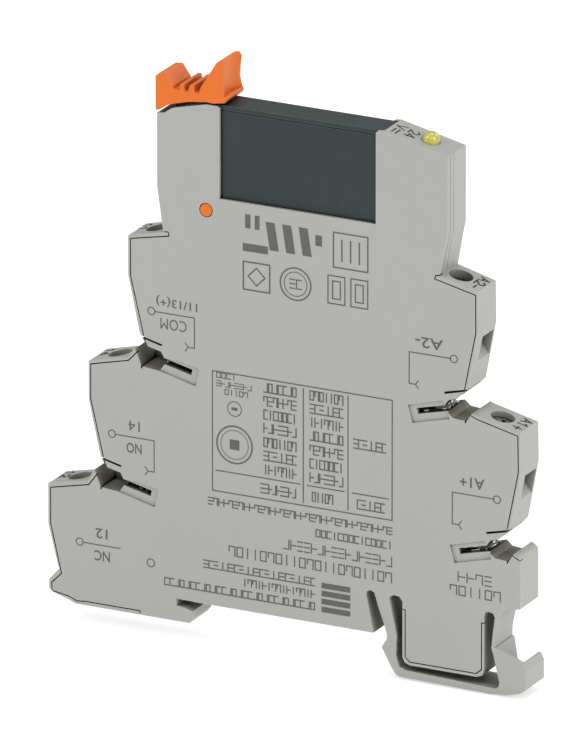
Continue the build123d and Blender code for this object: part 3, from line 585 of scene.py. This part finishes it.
# plain signs where the approval marks are
side.rect(3.7, -63.1, 4.5, -60.9)
side.rect(5.2, -63.1, 6.1, -60.9)
for k in range(3):
    u = -5.0 + k * 2.75
    side.quad((u + 0.7, -62.4), (u + 2.2, -62.4), (u + 1.5, -58.0), (u, -58.0))
side.rect(-6.7, -61.6, -5.6, -59.9)
side.line([R(8.6, 57.0), R(14.3, 57.0), R(14.3, 62.5), R(8.6, 62.5), R(8.6, 57.0)], 0.22)
for x in (10.0, 11.45, 12.9):
    side.line([R(x, 58.1), R(x, 61.4)], 0.24)
side.rect(2.3, -58.5, 6.5, -57.25)
side.line([R(-6.4, 51.2), R(-2.0, 51.2), R(-2.0, 55.6), R(-6.4, 55.6), R(-6.4, 51.2)], 0.24)
side.line([R(-4.2, 52.0), R(-2.8, 53.4), R(-4.2, 54.8), R(-5.6, 53.4), R(-4.2, 52.0)], 0.22)
side.ring(*R(2.3, 53.3), 2.55, 0.24)
side.ring(*R(2.3, 53.3), 1.9, 0.14)
side.filler(-3.4, -54.0, -1.2, -52.6, 2, 5, 0.2)
for x in (10.2, 14.0):
    side.line([R(x - 2.5, 51.2), R(x + 0.3, 51.2), R(x + 0.3, 55.6), R(x - 2.5, 55.6), R(x - 2.5, 51.2)], 0.2)
    side.line([R(x - 1.75, 52.0), R(x - 0.45, 52.0), R(x - 0.45, 54.8), R(x - 1.75, 54.8), R(x - 1.75, 52.0)], 0.2)
side.build("print_side", m_ink)


# ------------------------------------------------------------------ print on the tops, reading from far to near
m_black = m_ink.copy()
m_black.name = "print_black"
for n in m_black.node_tree.nodes:
    if n.type == "MIX":
        n.inputs[6].default_value = (*lin(24, 24, 24), 1)
        n.inputs[7].default_value = (*lin(40, 40, 40), 1)

T = {"11": (-1, -22.2, 57.5), "14": (-1, -28.6, 36.7), "12": (-1, -35.4, 16.0), "a2": (1, 28.2, 57.6), "a1": (1, 35.3, 36.8)}
TILT = math.radians(12.5)
for t, (sgn, cx, cz) in T.items():
    ev = Vector((math.cos(TILT), 0, -sgn * math.sin(TILT)))
    # exact height of the sloped top under the text, from the shell itself
    probe = Vector((OX + (cx + sgn * (3.2 if sgn > 0 else 2.82) * math.cos(TILT)) * MM, 0.0004, OZ + (cz + 4) * MM))
    hit, loc, nor, _ = nodes["housing_shell"].ray_cast(nodes["housing_shell"].matrix_world.inverted() @ probe, Vector((0, 0, -1)))
    if not hit:
        continue
    ev = Vector((nor.z, 0, -nor.x)).normalized()
    p = Plate(Vector((loc.x, 0, loc.z)), (0, -1, 0), ev)
    if sgn > 0:
        p.strokes(t.upper() + ("+" if t == "a1" else "-"), -2.45, -0.75, 2.3, 0.75, 0.3)
    else:
        p.strokes(t, -2.7, -0.64, 0.5, 0.64, 0.36)
    p.build("print_top_" + t, m_black)

probe = Vector((OX + 20.2 * MM, 0.0022, OZ + 84 * MM))
hit, loc, nor, _ = nodes["housing_shell"].ray_cast(nodes["housing_shell"].matrix_world.inverted() @ probe, Vector((0, 0, -1)))
p = Plate(Vector((loc.x, 0, loc.z)), (0, -1, 0), Vector((nor.z, 0, -nor.x)).normalized())
p.strokes("24", -1.2, -0.75, 1.75, 0.85, 0.25)
p.strokes("V", -1.5, -2.95, 0.25, -1.45, 0.25)
p.line([(0.5, -1.9), (2.1, -1.9)], 0.26)
for u in (0.5, 1.1, 1.7):
    p.line([(u, -2.6), (u + 0.25, -2.6)], 0.26)
p.build("print_top_voltage", m_black)


# ------------------------------------------------------------------ latch legs: bent straps with rounded edges
def strap(name, left, right):
    """left and right: edges as (x, z) from the top down. Rounded section, many levels, so that the bend in its outline
    is smooth.
    """

    def x_at(edge, z):
        for (x0, z0), (x1, z1) in zip(edge, edge[1:]):
            if z1 <= z <= z0:
                k = (z0 - z) / (z0 - z1 or 1)
                k = k * k * (3 - 2 * k) * 0.35 + k * 0.65
                return x0 + (x1 - x0) * k
        return edge[0][0] if z > edge[0][1] else edge[-1][0]

    top, bottom = left[0][1], left[-1][1]
    levels = 36
    r = 0.13
    y0, y1 = lo_c.y / MM, hi_s.y / MM
    verts, faces = [], []
    for i in range(levels + 1):
        z = top + (bottom - top) * i / levels
        a, b = x_at(left, z), x_at(right, z)
        rr = min(r, (b - a) * 0.3)
        sec = []
        for cx, cy, q in ((b - rr, y1 - rr, 0), (a + rr, y1 - rr, 1), (a + rr, y0 + rr, 2), (b - rr, y0 + rr, 3)):
            for j in range(4):
                g = math.pi / 2 * (q + j / 3)
                sec.append((cx + rr * math.cos(g), cy + rr * math.sin(g)))
        n = len(sec)
        verts += [(OX + x * MM, y * MM, OZ + z * MM) for x, y in sec]
        if i:
            k = (i - 1) * n
            faces += [(k + j, k + n + j, k + n + (j + 1) % n, k + (j + 1) % n) for j in range(n)]
    faces.append(tuple(range(n)))
    faces.append(tuple(len(verts) - n + j for j in reversed(range(n))))
    o = new_object(name, verts, faces, m_house)
    for f in o.data.polygons[:-2]:
        f.use_smooth = True
    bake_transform(o)
    return o


leg_a = strap("latch_strap_inner", [(15.63, 5.8), (17.5, 0.0), (17.45, -1.0)], [(17.99, 5.8), (19.17, 0.0), (19.13, -1.0)])
leg_b = strap("latch_strap_outer", [(35.45, 5.8), (35.04, 2.36), (34.9, 0.92)], [(36.15, 5.8), (36.03, 5.12), (35.53, 2.36), (35.5, 0.92)])
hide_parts("latch_leg_inner")
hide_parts("latch_leg_outer")


# ------------------------------------------------------------------ status light: clear dome over a lit cup
def lathe(name, profile, mat, frame_m, body, n=48):
    verts, faces = [], []
    for r, z in profile:
        for j in range(n):
            g = 2 * math.pi * j / n
            verts.append(frame_m @ Vector((r * math.cos(g), r * math.sin(g), z)))
    for i in range(len(profile) - 1):
        k = i * n
        faces += [(k + j, k + (j + 1) % n, k + n + (j + 1) % n, k + n + j) for j in range(n)]
    faces.append(tuple(reversed(range(n))))
    faces.append(tuple(len(verts) - n + j for j in range(n)))
    o = new_object(name, verts, faces, mat, body)
    for f in o.data.polygons:
        f.use_smooth = len(f.vertices) == 4
    return o


llo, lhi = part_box("led_lens")
LT = math.radians(12.6)
lc = Vector(((llo.x + lhi.x) / 2, 0.0, lhi.z))
axis = Vector((math.sin(LT), 0, math.cos(LT)))
LR = (lhi.y - llo.y) / 2
centre = Vector((OX + 23.2 * MM, 0.0, OZ + 78.17 * MM)) + axis * 0.1 * MM
fm = Matrix.Translation(centre) @ Vector((0, 0, 1)).rotation_difference(axis).to_matrix().to_4x4() @ Matrix.Scale(LR, 4)
dome = [(1.0, -1.75), (1.0, -0.05)]
for i in range(1, 14):
    g = math.pi / 2 * i / 14
    dome.append((math.cos(g) ** 0.93, math.sin(g) * 1.0))
dome.append((0.02, 1.0))


def led_clear():
    """Tinted epoxy: clear and glossy outside, cloudy inside, with painted shade that makes it darker towards the rim
    where the wall is seen edge on.
    """
    a = Mat("led_tinted_epoxy")
    n = a.noise(420.0, 3.0)
    lw = a.n.new("ShaderNodeLayerWeight")
    lw.inputs["Blend"].default_value = 0.35
    heart = a.mix(a.span(n, 0.3, 0.7, 0.0, 1.0), lin(208, 198, 70), lin(222, 212, 88))
    # painted shade: the rim colour is mixed in by facing, darker where the dome is seen edge on
    c = a.mix(a.span(lw.outputs["Facing"], 0.25, 0.85, 0.0, 1.0), heart, lin(112, 104, 30))
    return a.set(Base_Color=c, Roughness=a.span(n, 0.3, 0.7, 0.06, 0.12), IOR=1.53, Transmission_Weight=0.25, Subsurface_Weight=0.25, Subsurface_Scale=0.0005, Coat_Weight=1.0, Coat_Roughness=0.02)


def led_inside():
    a = Mat("led_lit_cup")
    n = a.noise(900.0, 2.0)
    c = a.mix(a.span(n, 0.3, 0.7, 0.0, 1.0), lin(228, 214, 90), lin(246, 236, 140))
    return a.set(Base_Color=c, Roughness=a.span(n, 0.3, 0.7, 0.2, 0.35), Metallic=0.2)


m_clear, m_cup = led_clear(), led_inside()
lens = lathe("led_dome", dome, m_clear, fm, "housing")
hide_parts("led_lens")
cup = [(0.86, -1.5), (0.9, -1.2), (0.9, -0.32), (0.86, -0.2), (0.78, -0.16), (0.62, -0.28), (0.5, -0.42), (0.3, -0.45), (0.28, -0.2), (0.12, -0.18), (0.1, 0.1), (0.01, 0.12)]
lathe("led_cup", cup, m_cup, fm, "housing")

# ------------------------------------------------------------------ studio
def studio():
    floor = bpy.data.meshes.new("floor")
    z = cad_box[0][2] - 0.0002
    r = 30.0
    floor.from_pydata([(-r, -r, z), (r, -r, z), (r, r, z), (-r, r, z)], [], [(0, 1, 2, 3)])
    f = bpy.data.objects.new("floor", floor)
    bpy.context.scene.collection.objects.link(f)
    a = Mat("floor_paper")
    n = a.noise(30.0, 3.0)
    c = a.mix(a.span(n, 0.3, 0.7, 0.0, 1.0), (0.55, 0.55, 0.55), (0.57, 0.57, 0.57))
    a.set(Base_Color=c, Roughness=0.9, Emission_Color=(1, 1, 1, 1), Emission_Strength=0.62)
    floor.materials.append(a.m)
    world = bpy.data.worlds.new("studio")
    bpy.context.scene.world = world
    world.use_nodes = True
    bg = world.node_tree.nodes["Background"]
    bg.inputs[0].default_value = (1.0, 1.0, 1.0, 1.0)
    bg.inputs[1].default_value = 0.62

    def area(name, loc, size, power, target=(0.0, 0.0, 0.04)):
        light = bpy.data.lights.new(name, "AREA")
        light.shape = "DISK"
        light.size = size
        light.energy = power
        o = bpy.data.objects.new(name, light)
        bpy.context.scene.collection.objects.link(o)
        o.location = loc
        o.rotation_mode = "QUATERNION"
        o.rotation_quaternion = (Vector(target) - Vector(loc)).to_track_quat("-Z", "Y")
        return o

    area("key", (-0.55, -0.75, 0.95), 0.5, 3.2)
    area("side", (0.95, -0.25, 0.55), 0.55, 3.0)
    area("top", (0.1, 0.25, 1.2), 0.6, 2.2)
    area("fill", (0.45, 1.15, 0.75), 0.6, 2.6)
    # three small lamps for the sparkle on glossy parts
    right = Vector((math.cos(AZ), math.sin(AZ), 0))
    up = back.cross(right)
    eye = Vector((0.0232, 0.0, 0.0785))
    for k, (b, r, u) in enumerate(((0.995, -0.03, 0.1), (0.80, -0.58, -0.02), (0.90, 0.40, -0.10))):
        n = (back * b + right * r + up * u).normalized()
        d = (n * (2 * n.dot(back)) - back).normalized()
        area("sparkle_%d" % k, tuple(eye + d * 0.6), 0.07, 0.2, tuple(eye))
    sc = bpy.context.scene
    sc.view_settings.view_transform = "Standard"
    sc.view_settings.look = "None"
    sc.view_settings.exposure = 0.0
    sc.view_settings.gamma = 1.0


studio()
